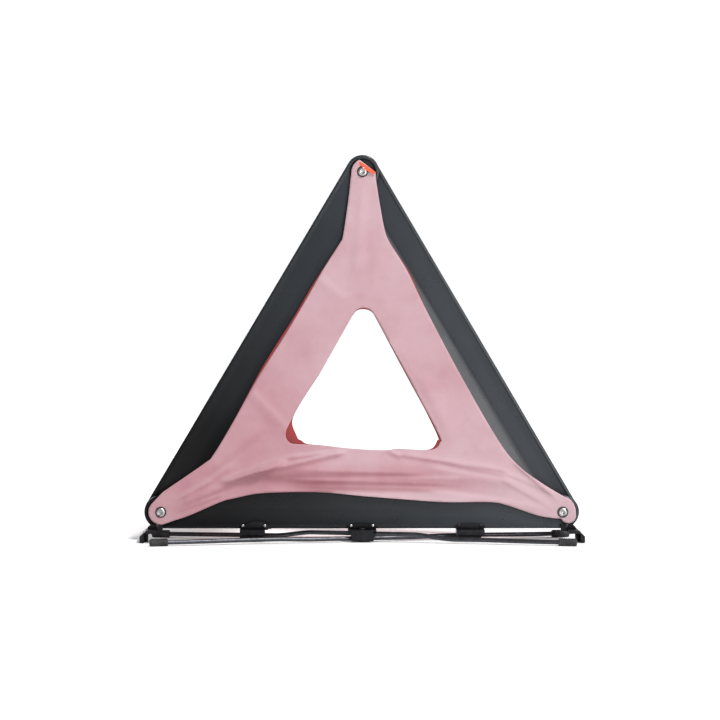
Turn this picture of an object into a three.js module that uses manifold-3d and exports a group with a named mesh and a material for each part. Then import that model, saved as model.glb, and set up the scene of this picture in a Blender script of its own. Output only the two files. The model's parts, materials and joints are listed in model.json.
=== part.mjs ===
// A folding roadside warning triangle that stands on two crossed wire legs.
// Three tray-shaped arms carry red reflector lenses on the front (+Y). Two plies of fluorescent fabric
// are riveted across the back (-Y). The side arms fold down over the bottom arm, and the legs swing
// under it.
// Units are millimetres. +X runs along the base, +Y faces the traffic, +Z is up, and the ground is z = 0.
import * as THREE from "three";
import { mergeVertices } from "three/addons/utils/BufferGeometryUtils.js";
import Module from "manifold-3d";

const wasm = await Module();
wasm.setup();

// ---- Driving dimensions -------------------------------------------------------------------------------

const GAP = 0.3; // clearance between pieces that meet
const CUT = 0.5; // how far a cutting tool runs past the face it opens

// The triangle of pivots
const SPAN = 400; // between the two lower pivots
const SIDE_SPAN = 393; // from each lower pivot to the apex
const PIVOT_Z = 29; // height of the two lower pivots
const BASE_ANGLE = Math.acos(SPAN / 2 / SIDE_SPAN); // between the bottom arm and each side arm
const APEX_Z = PIVOT_Z + SIDE_SPAN * Math.sin(BASE_ANGLE);

// Each arm, drawn along u from its first pivot, with w towards the middle of the triangle
const END_R = 16.5; // rounded end, and the outer edge's distance from the pivot line
const INNER_EDGE = 27.5; // the inner edge's distance from the pivot line
const TAPER = 48; // the inner edge narrows over this length at each end
const SOLID_END = 26; // the tray starts this far from each pivot
const ARM_T = 6; // thickness, back face to open front
const WALL = 1.6; // moulded wall and floor
const LENS_T = 2.8; // reflector lens
const RIB_EVERY = 100; // spacing of the ribs under the lens
const DISH_R = 13; // shallow dish round each pivot on the back face
const DISH_DEPTH = 1;

// How far back to front the layers stand: the arms' back faces
const BOTTOM_Y = 6.5;
const LEFT_Y = BOTTOM_Y + ARM_T + 1.1;
const RIGHT_Y = LEFT_Y + ARM_T + 2.2;

// Pivot rivets
const SHANK_R = 2.2;
const HOLE_R = 2.6;
const HEAD_R = 4.2;
const HEAD_T = 1.2;
const WASHER_R = 5.5;
const WASHER_T = 0.6;
const SPACER_R = 4.5;

// Catch that joins the side arms at the apex
const STUD_R = 9;
const STUD_BORE = 5.2;
const STUD_T = 1.6;
const SOCKET_R = STUD_R + 0.4;
const SOCKET_DEPTH = 3;

// Fabric: two plies in one slightly sloping plane, resting on the bottom arm's back face
const PLY_T = 0.4;
const FABRIC_SLOPE = 0.0202; // forward lean per millimetre of height
const FABRIC_BACK = BOTTOM_Y - GAP; // front face of the front ply at the bottom arm's inner edge

// Wire legs, which cross on an upright pin at the origin
const WIRE_R = 2.25;
const EYE_R = 2.6; // inside of the eye that turns on the pin
const EYE_LOOP = EYE_R + WIRE_R;
const LOWER_EYE_Z = 3.45;
const UPPER_EYE_Z = LOWER_EYE_Z + 2 * WIRE_R + GAP;
const LEG_ANGLE = THREE.MathUtils.degToRad(13.5); // each leg's angle to the base as it stands
const ROD_Z = 4.4; // height of both rods outside the crossing
const CROSS_END = 50; // the rods stay at the height of their eyes as far as this,
const LEVEL_FROM = 90; // and are level with each other from here
const TIP_REACH = 213.4; // from the pin to the wire's tip
const FOOT_R = 4;
const FOOT_AXIS_Z = 3.65; // less than the radius, so that the foot has a narrow flat to stand on
const FOOT_L = 18;
const FOOT_BORE = WIRE_R + GAP;
const FOOT_CAP = 2; // rubber past the wire's tip

// Fittings along the bottom arm's lower edge
const FLANGE_T = 1.9; // plates riveted on the back face
const UNDER_ARM = PIVOT_Z - END_R - GAP; // top of anything that hangs under the arm
const CLIP_X = 107.5; // distance of the two leg clips from the middle
const CLIP_RIVET = 10.8; // rivets either side of a clip's middle
const CLIP_RIVET_Z = 15.5;
const CLIP_RIVET_R = 0.8;
const CLIP_RIVET_HEAD = 1.4;
const BRACKET_SCREW = { x: 204, z: 15.2, shank: 0.9, head: 1.9 };

// ---- Materials ----------------------------------------------------------------------------------------

const finish = (color, roughness, metalness = 0) =>
  new THREE.MeshStandardMaterial({ color, roughness, metalness });
const blackPlastic = finish(0x2b3036, 0.42);
const redLens = finish(0xc4121a, 0.18);
const pinkFabric = finish(0xd9acb4, 0.85);
const orangeFabric = finish(0xff4a2e, 0.8);
const steel = finish(0xb9bcc0, 0.3, 1);
const darkSteel = finish(0x3a3c40, 0.45, 0.8);
const nylon = finish(0x1c1e21, 0.55);
const rubber = finish(0x17181a, 0.8);

// ---- Solids -------------------------------------------------------------------------------------------

function solid(geometry) {
  const bare = geometry.clone();
  bare.deleteAttribute("normal");
  bare.deleteAttribute("uv");
  const merged = mergeVertices(bare, 1e-4);
  return new wasm.Manifold(
    new wasm.Mesh({
      numProp: 3,
      vertProperties: merged.attributes.position.array,
      triVerts: new Uint32Array(merged.index.array),
    }),
  );
}

function surface(manifold) {
  const mesh = manifold.getMesh();
  const shared = new THREE.BufferGeometry();
  shared.setAttribute("position", new THREE.BufferAttribute(mesh.vertProperties, 3));
  shared.setIndex(new THREE.BufferAttribute(mesh.triVerts, 1));
  const faceted = shared.toNonIndexed();
  faceted.computeVertexNormals();
  return faceted;
}

const join = (first, ...rest) => rest.reduce((whole, part) => whole.add(part), first);
const cut = (first, ...rest) => rest.reduce((whole, part) => whole.subtract(part), first);

const polygon = (points) => new THREE.Shape(points.map(([x, z]) => new THREE.Vector2(x, z)));

// A shape drawn in X and Z, made solid from y0 to y1.
function plateY(shape, y0, y1, curveSegments = 12) {
  const geometry = new THREE.ExtrudeGeometry(shape, {
    depth: y1 - y0,
    bevelEnabled: false,
    curveSegments,
  });
  geometry.rotateX(Math.PI / 2);
  geometry.translate(0, y1, 0);
  return solid(geometry);
}

function box([x0, x1], [y0, y1], [z0, z1]) {
  const geometry = new THREE.BoxGeometry(x1 - x0, y1 - y0, z1 - z0);
  geometry.translate((x0 + x1) / 2, (y0 + y1) / 2, (z0 + z1) / 2);
  return solid(geometry);
}

function rodY(x, z, radius, y0, y1, sides = 16) {
  const geometry = new THREE.CylinderGeometry(radius, radius, y1 - y0, sides);
  geometry.translate(x, (y0 + y1) / 2, z);
  return solid(geometry);
}

function rodZ(x, y, radius, z0, z1, sides = 16) {
  const geometry = new THREE.CylinderGeometry(radius, radius, z1 - z0, sides);
  geometry.rotateX(Math.PI / 2);
  geometry.translate(x, y, (z0 + z1) / 2);
  return solid(geometry);
}

// A turned piece along Y from its half section, listed anticlockwise in (radius, y).
const turned = (section, sides = 20) =>
  solid(new THREE.LatheGeometry(section.map(([r, y]) => new THREE.Vector2(r, y)), sides));

const ring = (inner, outer, y0, y1) =>
  turned([[inner, y0], [outer, y0], [outer, y1], [inner, y1], [inner, y0]]);

// A domed head on the back, a shank, and a rolled tail on the front.
function rivet(headR, headT, shankR, back, front, sides = 20) {
  const edge = headT * 0.4;
  return turned(
    [
      [0, back - headT],
      [headR * 0.6, back - headT],
      [headR, back - edge],
      [headR, back],
      [shankR, back],
      [shankR, front],
      [headR * 0.9, front],
      [headR * 0.9, front + edge],
      [headR * 0.5, front + headT],
      [0, front + headT],
    ],
    sides,
  );
}

// ---- The object ---------------------------------------------------------------------------------------

const warningTriangle = new THREE.Group();

function place(name, manifold, material, parent = warningTriangle) {
  const mesh = new THREE.Mesh(surface(manifold), material);
  mesh.name = name;
  parent.add(mesh);
  return mesh;
}

// ---- Arms and reflectors ------------------------------------------------------------------------------

// Where the slanting stretch of the inner edge meets the rounded end, as an angle at the pivot.
const TOUCH =
  Math.PI - Math.atan2(INNER_EDGE, TAPER) - Math.acos(END_R / Math.hypot(TAPER, INNER_EDGE));
const SLANT =
  (INNER_EDGE - END_R * Math.sin(TOUCH)) / (TAPER + END_R * Math.cos(TOUCH));

function armOutline(span) {
  const outline = new THREE.Shape();
  outline.absarc(span, 0, END_R, -Math.PI / 2, TOUCH, false);
  outline.lineTo(span - TAPER, INNER_EDGE);
  outline.lineTo(TAPER, INNER_EDGE);
  outline.absarc(0, 0, END_R, Math.PI - TOUCH, 1.5 * Math.PI, false);
  return outline;
}

// The tray's outline, or with a larger inset the lens that drops into it.
function trayOutline(span, inset) {
  const start = SOLID_END + inset - WALL;
  const knee = TAPER + inset * Math.tan(Math.atan(SLANT) / 2);
  const inner = INNER_EDGE - inset;
  const innerAtStart = inner - SLANT * (knee - start);
  const outer = inset - END_R;
  return polygon([
    [start, outer],
    [span - start, outer],
    [span - start, innerAtStart],
    [span - knee, inner],
    [knee, inner],
    [start, innerAtStart],
  ]);
}

function armShell(span) {
  const body = plateY(armOutline(span), 0, ARM_T, 9);
  const tray = plateY(trayOutline(span, WALL), WALL, ARM_T + CUT);
  const dishes = [0, span].map((u) => rodY(u, 0, DISH_R, -CUT, DISH_DEPTH, 28));
  const ribTop = ARM_T - LENS_T - GAP;
  const ribs = [];
  for (let u = RIB_EVERY / 2; u < span; u += RIB_EVERY)
    ribs.push(box([u - WALL / 2, u + WALL / 2], [WALL / 2, ribTop], [WALL - END_R, INNER_EDGE - WALL]));
  return join(cut(body, tray, ...dishes), ...ribs);
}

const pivotHole = (u) => rodY(u, 0, HOLE_R, -CUT, ARM_T + CUT);
const lens = (span) => plateY(trayOutline(span, WALL + GAP), ARM_T - LENS_T, ARM_T);

// A group whose X runs along an arm from its first pivot, and whose Z points into the triangle.
function armFrame(x, y, z, angle) {
  const frame = new THREE.Group();
  frame.position.set(x, y, z);
  frame.rotation.y = -angle;
  warningTriangle.add(frame);
  return frame;
}

const bottomArm = armFrame(-SPAN / 2, BOTTOM_Y, PIVOT_Z, 0);
const rightArm = armFrame(SPAN / 2, RIGHT_Y, PIVOT_Z, Math.PI - BASE_ANGLE);
const leftArm = armFrame(0, LEFT_Y, APEX_Z, Math.PI + BASE_ANGLE);

const clipRivetXs = [-CLIP_X, 0, CLIP_X].flatMap((x) => [x - CLIP_RIVET, x + CLIP_RIVET]);
const bottomHoles = [
  ...clipRivetXs.map((x) => ({ x, z: CLIP_RIVET_Z, radius: CLIP_RIVET_R + GAP })),
  ...[-1, 1].map((side) => ({
    x: side * BRACKET_SCREW.x,
    z: BRACKET_SCREW.z,
    radius: BRACKET_SCREW.shank + GAP,
  })),
].map(({ x, z, radius }) => rodY(x + SPAN / 2, z - PIVOT_Z, radius, -CUT, ARM_T + CUT, 10));

const bottomShell = cut(armShell(SPAN), pivotHole(0), pivotHole(SPAN), ...bottomHoles);
const leftShell = cut(armShell(SIDE_SPAN), pivotHole(0), pivotHole(SIDE_SPAN));
const socket = rodY(SIDE_SPAN, 0, SOCKET_R, -CUT, SOCKET_DEPTH, 24);
const rightShell = cut(armShell(SIDE_SPAN), pivotHole(0), socket);
place("bottom_arm_shell", bottomShell, blackPlastic, bottomArm);
place("left_arm_shell", leftShell, blackPlastic, leftArm);
place("right_arm_shell", rightShell, blackPlastic, rightArm);

place("bottom_reflector", lens(SPAN), redLens, bottomArm);
place("left_reflector", lens(SIDE_SPAN), redLens, leftArm);
place("right_reflector", lens(SIDE_SPAN), redLens, rightArm);

// ---- Fabric -------------------------------------------------------------------------------------------

// Outer edge of the fabric, anticlockwise seen from the back: each side is a smooth run between the tabs
// that wrap the corner pivots.
const TAB_R = 12;
const FABRIC_SIDES = {
  bottom: [
    [-172, 27], [-142, 39.5], [-99, 48.5], [-45, 49.5], [0, 45.5], [80, 40], [127, 39.5], [174, 27],
  ],
  right: [
    [178, 58], [155, 76], [134, 103], [96, 170], [62, 233], [44, 270], [28, 297], [18, 340],
  ],
  left: [
    [-13, 340], [-19, 303], [-38, 270], [-60, 235], [-80, 200], [-104, 162], [-132, 113], [-149, 85],
    [-198, 49],
  ],
};
const HOLE_CORNERS = [
  { at: [-83.5, 99], radius: 8 },
  { at: [86, 91], radius: 10 },
  { at: [1.5, 242], radius: 8 },
];

function tabArc(path, x, z, radius, from, to) {
  path.absarc(x, z, radius, THREE.MathUtils.degToRad(from), THREE.MathUtils.degToRad(to), false);
}

const runThrough = (path, points) => path.splineThru(points.map(([x, z]) => new THREE.Vector2(x, z)));

function roundedTriangle(corners) {
  const path = new THREE.Path();
  corners.forEach(({ at, radius }, i) => {
    const here = new THREE.Vector2(...at);
    const before = new THREE.Vector2(...corners[(i + corners.length - 1) % corners.length].at);
    const after = new THREE.Vector2(...corners[(i + 1) % corners.length].at);
    const back = before.sub(here).normalize();
    const on = after.sub(here).normalize();
    const halfAngle = Math.acos(back.dot(on)) / 2;
    const reach = radius / Math.tan(halfAngle);
    const start = here.clone().addScaledVector(back, reach);
    const end = here.clone().addScaledVector(on, reach);
    if (i === 0) path.moveTo(start.x, start.y);
    else path.lineTo(start.x, start.y);
    path.quadraticCurveTo(here.x, here.y, end.x, end.y);
  });
  path.closePath();
  return path;
}

function fabricOutline() {
  const outline = new THREE.Shape();
  const half = SPAN / 2;
  tabArc(outline, -half, PIVOT_Z, TAB_R, 135, 290);
  runThrough(outline, FABRIC_SIDES.bottom);
  tabArc(outline, half, PIVOT_Z, TAB_R, 230, 400);
  runThrough(outline, FABRIC_SIDES.right);
  tabArc(outline, 0, APEX_Z, TAB_R, 0, 180);
  runThrough(outline, FABRIC_SIDES.left);
  outline.holes.push(roundedTriangle(HOLE_CORNERS));
  return outline;
}

// One ply, its front face a given distance behind the fabric's resting plane.
function ply(behind) {
  const flat = plateY(fabricOutline(), -behind - PLY_T, -behind, 3);
  const pivots = [[-SPAN / 2, PIVOT_Z], [SPAN / 2, PIVOT_Z], [0, APEX_Z]];
  const holes = pivots.map(([x, z]) => rodY(x, z, HOLE_R, -behind - PLY_T - CUT, CUT));
  const pierced = cut(flat, ...holes);
  const geometry = surface(pierced);
  const restZ = PIVOT_Z + INNER_EDGE;
  geometry.applyMatrix4(
    new THREE.Matrix4().set(
      1, 0, 0, 0,
      0, 1, FABRIC_SLOPE, FABRIC_BACK - FABRIC_SLOPE * restZ,
      0, 0, 1, 0,
      0, 0, 0, 1,
    ),
  );
  return solid(geometry);
}

place("fabric_front_ply", ply(0), orangeFabric);
place("fabric_back_ply", ply(PLY_T + GAP), pinkFabric);

// The y of the fabric's back face at a height.
const fabricBackY = (z) =>
  FABRIC_BACK + FABRIC_SLOPE * (z - PIVOT_Z - INNER_EDGE) - 2 * PLY_T - GAP;

// ---- Corner fastenings --------------------------------------------------------------------------------

// A rivet with its washer under the head, clamping the fabric and the arms as far as `front`.
function cornerRivet(name, washerName, x, z, front) {
  const pivot = new THREE.Group();
  pivot.position.set(x, 0, z);
  warningTriangle.add(pivot);
  const washerFront = fabricBackY(z) - GAP;
  const washerBack = washerFront - WASHER_T;
  place(washerName, ring(HOLE_R, WASHER_R, washerBack, washerFront), darkSteel, pivot);
  place(name, rivet(HEAD_R, HEAD_T, SHANK_R, washerBack - GAP, front + GAP), steel, pivot);
}

cornerRivet("left_pivot_rivet", "left_rivet_washer", -SPAN / 2, PIVOT_Z, LEFT_Y + ARM_T);
cornerRivet("right_pivot_rivet", "right_rivet_washer", SPAN / 2, PIVOT_Z, RIGHT_Y + ARM_T);
cornerRivet("apex_rivet", "apex_rivet_washer", 0, APEX_Z, LEFT_Y + ARM_T);

place("left_thrust_washer", ring(HOLE_R, WASHER_R, BOTTOM_Y + ARM_T + GAP, LEFT_Y - GAP), nylon)
  .position.set(-SPAN / 2, 0, PIVOT_Z);
place("right_pivot_spacer", ring(HOLE_R, SPACER_R, BOTTOM_Y + ARM_T + GAP, RIGHT_Y - GAP), nylon)
  .position.set(SPAN / 2, 0, PIVOT_Z);

const studBack = LEFT_Y + ARM_T + GAP;
place("apex_catch_stud", ring(STUD_BORE, STUD_R, studBack, studBack + STUD_T), nylon)
  .position.set(0, 0, APEX_Z);

// ---- Wire legs ----------------------------------------------------------------------------------------

class LegLine extends THREE.Curve {
  constructor(eyeZ) {
    super();
    this.eyeZ = eyeZ;
  }
  getPoint(t, target = new THREE.Vector3()) {
    const x = THREE.MathUtils.lerp(EYE_LOOP, TIP_REACH, t);
    const { lerp, smoothstep } = THREE.MathUtils;
    const level = lerp(this.eyeZ, ROD_Z, smoothstep(x, CROSS_END, LEVEL_FROM));
    const dip = smoothstep(x, LEVEL_FROM, TIP_REACH - FOOT_L);
    return target.set(x, 0, lerp(level, FOOT_AXIS_Z, dip));
  }
}

function legWire(eyeZ) {
  const section = new THREE.Shape().absarc(0, 0, WIRE_R, 0, 2 * Math.PI, false);
  const half = new THREE.ExtrudeGeometry(section, {
    steps: 18,
    curveSegments: 5,
    extrudePath: new LegLine(eyeZ),
  });
  const eye = new THREE.TorusGeometry(EYE_LOOP, WIRE_R, 8, 20);
  eye.translate(0, 0, eyeZ);
  return join(solid(eye), solid(half), solid(half.clone().rotateZ(Math.PI)));
}

// A rubber sleeve along X, closed over the wire's tip and flat where it stands.
function foot(side) {
  const round = 0.8;
  const sleeve = turned(
    [
      [0, FOOT_L - FOOT_CAP],
      [FOOT_BORE, FOOT_L - FOOT_CAP],
      [FOOT_BORE, 0],
      [FOOT_R - round, 0],
      [FOOT_R, round],
      [FOOT_R, FOOT_L - round],
      [FOOT_R - round, FOOT_L],
      [0, FOOT_L],
    ],
    20,
  );
  const geometry = surface(sleeve);
  geometry.rotateZ(-Math.PI / 2);
  geometry.translate(TIP_REACH + FOOT_CAP + GAP - FOOT_L, 0, FOOT_AXIS_Z);
  geometry.rotateZ(side * Math.PI);
  const ground = box([-2 * SPAN, 2 * SPAN], [-FOOT_R, FOOT_R], [-FOOT_R, 0]);
  return cut(solid(geometry), ground);
}

function leg(letter, eyeZ, angle, feet) {
  const frame = new THREE.Group();
  frame.rotation.z = angle;
  warningTriangle.add(frame);
  place("leg_wire_" + letter, legWire(eyeZ), steel, frame);
  feet.forEach((name, side) => place(name, foot(side), rubber, frame));
}

leg("a", LOWER_EYE_Z, LEG_ANGLE, ["front_right_foot", "back_left_foot"]);
leg("b", UPPER_EYE_Z, -LEG_ANGLE, ["back_right_foot", "front_left_foot"]);

// ---- Fittings under the bottom arm --------------------------------------------------------------------

const FLANGE_Y = [BOTTOM_Y - GAP - FLANGE_T, BOTTOM_Y - GAP];
const FLANGE_TOP = 16.2; // height of a plate's straight sides

// The plate on the arm's back face: straight sides from x0 to x1, under a low dome.
function flange([x0, x1], dome) {
  const plate = box([x0, x1], FLANGE_Y, [UNDER_ARM - 1, FLANGE_TOP]);
  const disc = rodY(dome.x, dome.top - dome.radius, dome.radius, ...FLANGE_Y, 96);
  const room = box(
    [dome.x - dome.half, dome.x + dome.half],
    [FLANGE_Y[0] - CUT, FLANGE_Y[1] + CUT],
    [UNDER_ARM, dome.top + 1],
  );
  return join(plate, disc.intersect(room));
}

const rivetHoles = () =>
  [-CLIP_RIVET, CLIP_RIVET].map((x) =>
    rodY(x, CLIP_RIVET_Z, CLIP_RIVET_R + GAP, FLANGE_Y[0] - CUT, FLANGE_Y[1] + CUT, 10));

function fitting(name, body, x) {
  const frame = new THREE.Group();
  frame.position.x = x;
  warningTriangle.add(frame);
  place(name, cut(body, ...rivetHoles()), nylon, frame);
  [-CLIP_RIVET, CLIP_RIVET].forEach((rivetX, i) => {
    const [back, front] = [FLANGE_Y[0] - GAP, BOTTOM_Y + WALL + GAP];
    const pin = rivet(CLIP_RIVET_HEAD, CLIP_RIVET_HEAD / 2, CLIP_RIVET_R, back, front, 10);
    const mesh = place(name + "_rivet_" + (i ? "right" : "left"), pin, steel, frame);
    mesh.position.set(rivetX, 0, CLIP_RIVET_Z);
  });
}

// A clip: a saddle over the folded wires, and a web that keeps them apart.
const CLIP_BACK = -9;
const CLIP_WEB = 2.8; // half thickness of the web
const CLIP_ROOF = ROD_Z + WIRE_R + 0.55;
function clip({ saddle, plate, foot, footZ, dome }) {
  const over = box(saddle, [CLIP_BACK, BOTTOM_Y + ARM_T], [CLIP_ROOF, UNDER_ARM]);
  const webOutline = [
    [foot[0], footZ],
    [foot[1], footZ],
    [saddle[1] - 1, CLIP_ROOF + 1],
    [saddle[0] + 1, CLIP_ROOF + 1],
  ];
  const web = plateY(polygon(webOutline), -CLIP_WEB, CLIP_WEB);
  return join(over, web, flange(plate, dome));
}

const leftClip = clip({
  saddle: [-14, 11],
  plate: [-13, 14],
  foot: [-15, 9],
  footZ: 0.9,
  dome: { x: 3.4, half: 14, radius: 19, top: 20 },
});
const rightClip = clip({
  saddle: [-14, 14],
  plate: [-14, 14],
  foot: [-10.5, 10.5],
  footZ: 3.8,
  dome: { x: 0, half: 14, radius: 60, top: 17.4 },
});
fitting("left_leg_clip", leftClip, -CLIP_X);
fitting("right_leg_clip", rightClip, CLIP_X);

// The centre bracket: a channel over the two eyes, which hangs the pivot pin.
const CHANNEL_HALF = 11;
const CHANNEL_INNER = 8.6;
const CHANNEL_WALL = 1.6;
const CHANNEL_FOOT = 1;
const CHANNEL_BACK = -CHANNEL_INNER - CHANNEL_WALL;
const ROOF_HALF = CHANNEL_HALF + 3;
const ROOF_Z = UPPER_EYE_Z + WIRE_R + GAP;
const PIN_R = EYE_R - GAP;
const PIN_HEAD_R = 5;
const channelWall = (y) => box([-CHANNEL_HALF, CHANNEL_HALF], y, [CHANNEL_FOOT, UNDER_ARM]);
const roof = box([-ROOF_HALF, ROOF_HALF], [CHANNEL_BACK, BOTTOM_Y + ARM_T], [ROOF_Z, UNDER_ARM]);
fitting(
  "centre_leg_bracket",
  cut(
    join(
      channelWall([CHANNEL_BACK, -CHANNEL_INNER]),
      channelWall([CHANNEL_INNER + CUT, BOTTOM_Y + ARM_T]),
      roof,
      flange([-ROOF_HALF, ROOF_HALF], { x: 0, half: ROOF_HALF, radius: 40, top: 17.8 }),
    ),
    rodZ(0, 0, EYE_R, ROOF_Z - CUT, UNDER_ARM + CUT),
  ),
  0,
);

// The pin is peened over a wide head at the bottom and a smaller one on the bracket's roof.
const PIN_TOP_R = 3.7;
const PIN_HEAD_T = 0.6;
const pinHead = LOWER_EYE_Z - WIRE_R - GAP;
place(
  "leg_pivot_pin",
  join(
    rodZ(0, 0, PIN_R, pinHead - PIN_HEAD_T, UNDER_ARM + GAP + PIN_HEAD_T),
    rodZ(0, 0, PIN_HEAD_R, pinHead - PIN_HEAD_T, pinHead),
    rodZ(0, 0, PIN_TOP_R, UNDER_ARM + GAP, UNDER_ARM + GAP + 2 * PIN_HEAD_T),
  ),
  darkSteel,
);

// End brackets: a hood over the folded feet, a block between them, and an end wall past their tips.
const HOOD = {
  back: -18, // towards the rear feet's side
  inner: 205,
  block: 212.3, // inside of the block that stands between the folded feet
  blockHalf: 7.5,
  wall: 216.2, // inside of the end wall
  outer: 220.5,
  roof: 9.2, // above the folded feet
  shoulder: 214.5,
  foot: 0.6,
  flank: 6, // height of the end wall's upright outer face
};
const LUG = [[198, 10], [214, 10], [213, 14], [210, 17], [198, 17]]; // plate for the screw
function endBracket() {
  const outline = [
    [HOOD.inner, HOOD.roof],
    [HOOD.wall, HOOD.roof],
    [HOOD.wall, HOOD.foot],
    [HOOD.outer, HOOD.foot],
    [HOOD.outer, HOOD.foot + HOOD.flank],
    [HOOD.shoulder, UNDER_ARM],
    [HOOD.inner, UNDER_ARM],
  ];
  const hood = plateY(polygon(outline), HOOD.back, BOTTOM_Y + ARM_T);
  const block = box(
    [HOOD.block, HOOD.wall + 1], [-HOOD.blockHalf, HOOD.blockHalf], [HOOD.foot, HOOD.roof + 1]);
  const { x, z, shank } = BRACKET_SCREW;
  const hole = rodY(x, z, shank + GAP, FLANGE_Y[0] - CUT, FLANGE_Y[1] + CUT, 10);
  return cut(join(hood, block, plateY(polygon(LUG), ...FLANGE_Y)), hole);
}

function mirrored(manifold) {
  const geometry = surface(manifold);
  const position = geometry.attributes.position;
  for (let i = 0; i < position.count; i += 3) {
    const corners = [0, 1, 2].map((k) => new THREE.Vector3().fromBufferAttribute(position, i + k));
    [0, 2, 1].forEach((from, k) =>
      position.setXYZ(i + k, -corners[from].x, corners[from].y, corners[from].z));
  }
  return solid(geometry);
}

// The screw bites into the solid arm end and stops short of its front face, so it has no tail.
function bracketScrew() {
  const end = BOTTOM_Y + ARM_T - 1;
  const { head, shank } = BRACKET_SCREW;
  const tail = box([-2 * head, 2 * head], [end, end + 2 * head], [-2 * head, 2 * head]);
  return cut(rivet(head, head / 2, shank, FLANGE_Y[0] - GAP, end, 12), tail);
}

place("right_end_bracket", endBracket(), nylon);
place("left_end_bracket", mirrored(endBracket()), nylon);
["left", "right"].forEach((side, i) => {
  place(side + "_bracket_screw", bracketScrew(), steel)
    .position.set((i ? 1 : -1) * BRACKET_SCREW.x, 0, BRACKET_SCREW.z);
});

export default warningTriangle;
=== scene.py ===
"""Looks for a folding roadside warning triangle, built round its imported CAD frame."""
import json
import math

import bmesh
import bpy
import numpy as np
from mathutils import Matrix, Vector, noise
from mathutils.geometry import delaunay_2d_cdt


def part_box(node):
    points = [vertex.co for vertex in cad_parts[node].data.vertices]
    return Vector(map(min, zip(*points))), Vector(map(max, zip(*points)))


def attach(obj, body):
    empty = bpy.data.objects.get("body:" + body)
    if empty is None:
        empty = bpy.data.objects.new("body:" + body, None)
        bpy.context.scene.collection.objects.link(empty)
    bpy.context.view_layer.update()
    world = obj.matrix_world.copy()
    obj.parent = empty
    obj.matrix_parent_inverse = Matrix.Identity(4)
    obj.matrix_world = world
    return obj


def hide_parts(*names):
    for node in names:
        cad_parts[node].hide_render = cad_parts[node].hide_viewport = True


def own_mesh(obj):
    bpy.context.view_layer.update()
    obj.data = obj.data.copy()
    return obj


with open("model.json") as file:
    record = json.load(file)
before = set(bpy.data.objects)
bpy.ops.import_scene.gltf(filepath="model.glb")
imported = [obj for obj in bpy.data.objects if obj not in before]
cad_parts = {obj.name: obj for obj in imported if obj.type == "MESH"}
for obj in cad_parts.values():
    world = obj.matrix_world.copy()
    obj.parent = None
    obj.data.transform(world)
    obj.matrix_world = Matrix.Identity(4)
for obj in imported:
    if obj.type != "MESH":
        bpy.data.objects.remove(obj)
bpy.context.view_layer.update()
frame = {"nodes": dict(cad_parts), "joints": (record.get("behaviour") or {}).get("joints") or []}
NODES = frame["nodes"]
JOINTS = {joint["name"]: joint for joint in frame["joints"]}
MM = 0.001


def centre(node):
    low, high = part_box(node)
    return (low + high) / 2


# ---- Sizes, from the frame (millimetres) ------------------------------------------------------------

LEFT_PIVOT = Vector(JOINTS["left_arm_fold"]["pos_m"]) / MM
RIGHT_PIVOT = Vector(JOINTS["right_arm_fold"]["pos_m"]) / MM
APEX = centre("apex_rivet") / MM
SPAN = RIGHT_PIVOT.x - LEFT_PIVOT.x
SIDE_SPAN = math.hypot(APEX.x - LEFT_PIVOT.x, APEX.z - LEFT_PIVOT.z)
BASE_ANGLE = math.acos(SPAN / 2 / SIDE_SPAN)
PIVOT_Z = LEFT_PIVOT.z
BACK_Y = {name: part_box(name + "_arm_shell")[0].y / MM for name in ("bottom", "left", "right")}
END_R = PIVOT_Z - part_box("bottom_arm_shell")[0].z / MM
INNER_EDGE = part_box("bottom_arm_shell")[1].z / MM - PIVOT_Z
ARM_T = 6.0  # a tray's depth, back face to open front
TAPER = 48.0  # from a pivot to where the arm has its full width
WALL = 1.6
SOLID_END = 26.0  # from a pivot to where the lens starts


# ---- Materials --------------------------------------------------------------------------------------


class Shader:
    """A node material: `node` adds a node, and a socket value may be another node's output."""

    def __init__(self, name):
        self.material = bpy.data.materials.new(name)
        self.material.use_nodes = True
        self.tree = self.material.node_tree
        self.tree.nodes.clear()
        self.output = self.tree.nodes.new("ShaderNodeOutputMaterial")
        self.surface = self.tree.nodes.new("ShaderNodeBsdfPrincipled")
        self.tree.links.new(self.surface.outputs[0], self.output.inputs[0])

    def node(self, kind, settings=None, **inputs):
        made = self.tree.nodes.new("ShaderNode" + kind)
        for key, value in (settings or {}).items():
            setattr(made, key, value)
        for key, value in inputs.items():
            self.put(made, key.replace("_", " "), value)
        return made

    def put(self, node, key, value):
        """Sets or links an input, by its name or as `i` and its number."""
        numbered = key[0] == "i" and key[1:].isdigit()
        socket = node.inputs[int(key[1:]) if numbered else key]
        if isinstance(value, bpy.types.NodeSocket):
            self.tree.links.new(value, socket)
        else:
            socket.default_value = value

    def set(self, **inputs):
        for key, value in inputs.items():
            self.put(self.surface, key.replace("_", " "), value)

    def position(self):
        return self.node("TexCoord").outputs["Object"]

    def noise(self, scale, detail=3.0, rough=0.5, vector=None):
        vector = vector or self.position()
        made = self.node("TexNoise", Vector=vector, Scale=scale, Detail=detail, Roughness=rough)
        return made.outputs["Fac"]

    def span(self, value, low, high, new_low=0.0, new_high=1.0):
        made = self.node("MapRange")
        for i, v in enumerate((value, low, high, new_low, new_high)):
            self.put(made, "i%d" % i, v)
        return made.outputs[0]

    def math(self, operation, a, b=0.0):
        return self.node("Math", {"operation": operation}, i0=a, i1=b).outputs[0]

    def mix(self, share, a, b):
        made = self.node("Mix", {"data_type": "RGBA"})
        for key, value in (("i0", share), ("i6", a), ("i7", b)):
            self.put(made, key, value)
        return made.outputs[2]

    def bump(self, height, distance, strength=1.0, normal=None):
        made = self.node("Bump", Strength=strength, Distance=distance, Height=height)
        if normal is not None:
            self.put(made, "Normal", normal)
        self.set(Normal=made.outputs[0])
        return made.outputs[0]


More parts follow.
